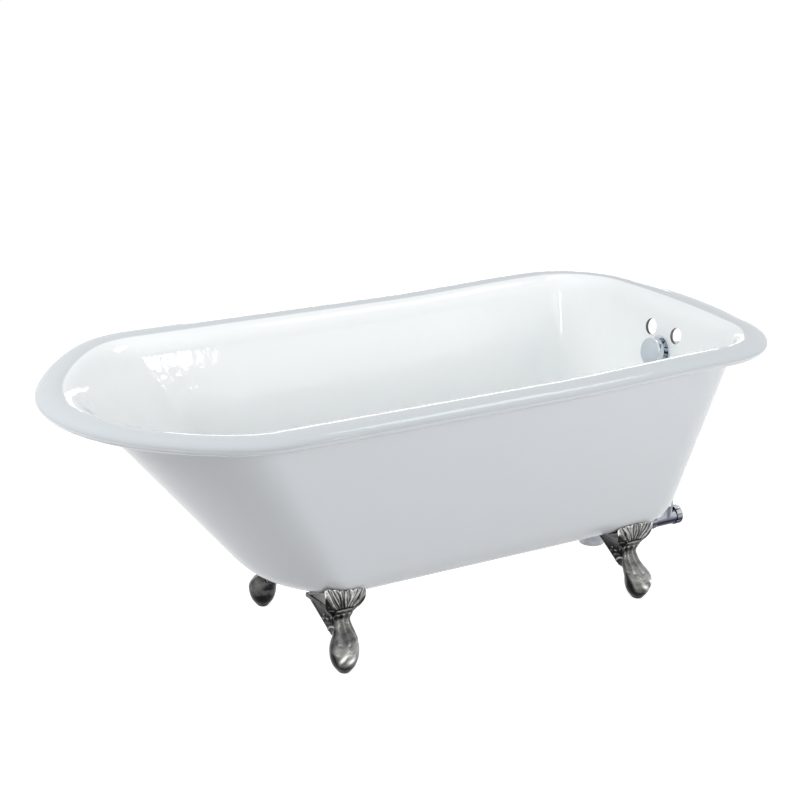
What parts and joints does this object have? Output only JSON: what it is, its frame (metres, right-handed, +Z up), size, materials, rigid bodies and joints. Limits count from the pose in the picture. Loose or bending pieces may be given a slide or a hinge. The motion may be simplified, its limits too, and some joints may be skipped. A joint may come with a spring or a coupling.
{
  "type": "bathtub",
  "caption": "Freestanding roll top cast iron bath on claw feet, with faucet holes and an overflow knob in the tap end wall that lifts the plug.",
  "frame": {"origin": "on the floor, below the middle of the rim's length and width", "axes": "+X along the bath towards the tap end, +Y across it, +Z up"},
  "size_m": [1.524, 0.762, 0.598],
  "materials": {
    "enamel": "high gloss white vitreous enamel inside, gloss white paint outside",
    "plated_iron": "polished nickel plate",
    "chrome": "polished chrome plate",
    "steel": "zinc plated",
    "brass": "plain turned",
    "rubber": "matt black"
  },
  "bodies": {
    "bath": {"tub_shell": "enamel", "foot_head_left": "plated_iron", "foot_head_right": "plated_iron", "foot_tap_left": "plated_iron", "foot_tap_right": "plated_iron", "leg_studs": "brass", "leg_washers": "steel", "leg_nuts": "steel", "drain_flange": "chrome", "drain_gasket": "rubber", "shoe_gasket": "rubber", "drain_shoe": "chrome", "lift_guide": "brass", "shoe_nut": "chrome", "shoe_washer": "rubber", "waste_tube": "chrome", "tee_inlet_nut": "chrome", "tee_inlet_washer": "rubber", "waste_tee": "chrome", "outlet_nut": "chrome", "outlet_washer": "rubber", "riser_bottom_nut": "chrome", "riser_bottom_washer": "rubber", "overflow_riser": "chrome", "riser_top_nut": "chrome", "riser_top_washer": "rubber", "overflow_elbow": "chrome", "overflow_gasket": "rubber", "overflow_flange": "chrome", "cable_sheath": "rubber"},
    "knob": {"overflow_knob": "chrome", "knob_spindle": "brass", "knob_grub_screw": "steel", "crank_arm": "brass"},
    "plug": {"plug_cap": "chrome", "plug_seal": "rubber", "plug_stem": "brass", "lift_pin": "brass"}
  },
  "joints": [
    {"name": "knob_turn", "type": "hinge", "parent": "bath", "child": "knob", "pos_m": [0.65872, 0, 0.484], "axis": [-0.9881, 0, 0.154], "range_deg": [0, 90]},
    {"name": "plug_lift", "type": "slide", "parent": "bath", "child": "plug", "axis": [0, 0, 1], "range_m": [0, 0.01]}
  ],
  "couplings": [
    {"joint": "plug_lift", "follows": "knob_turn", "m_per_rad": 0.006366}
  ]
}
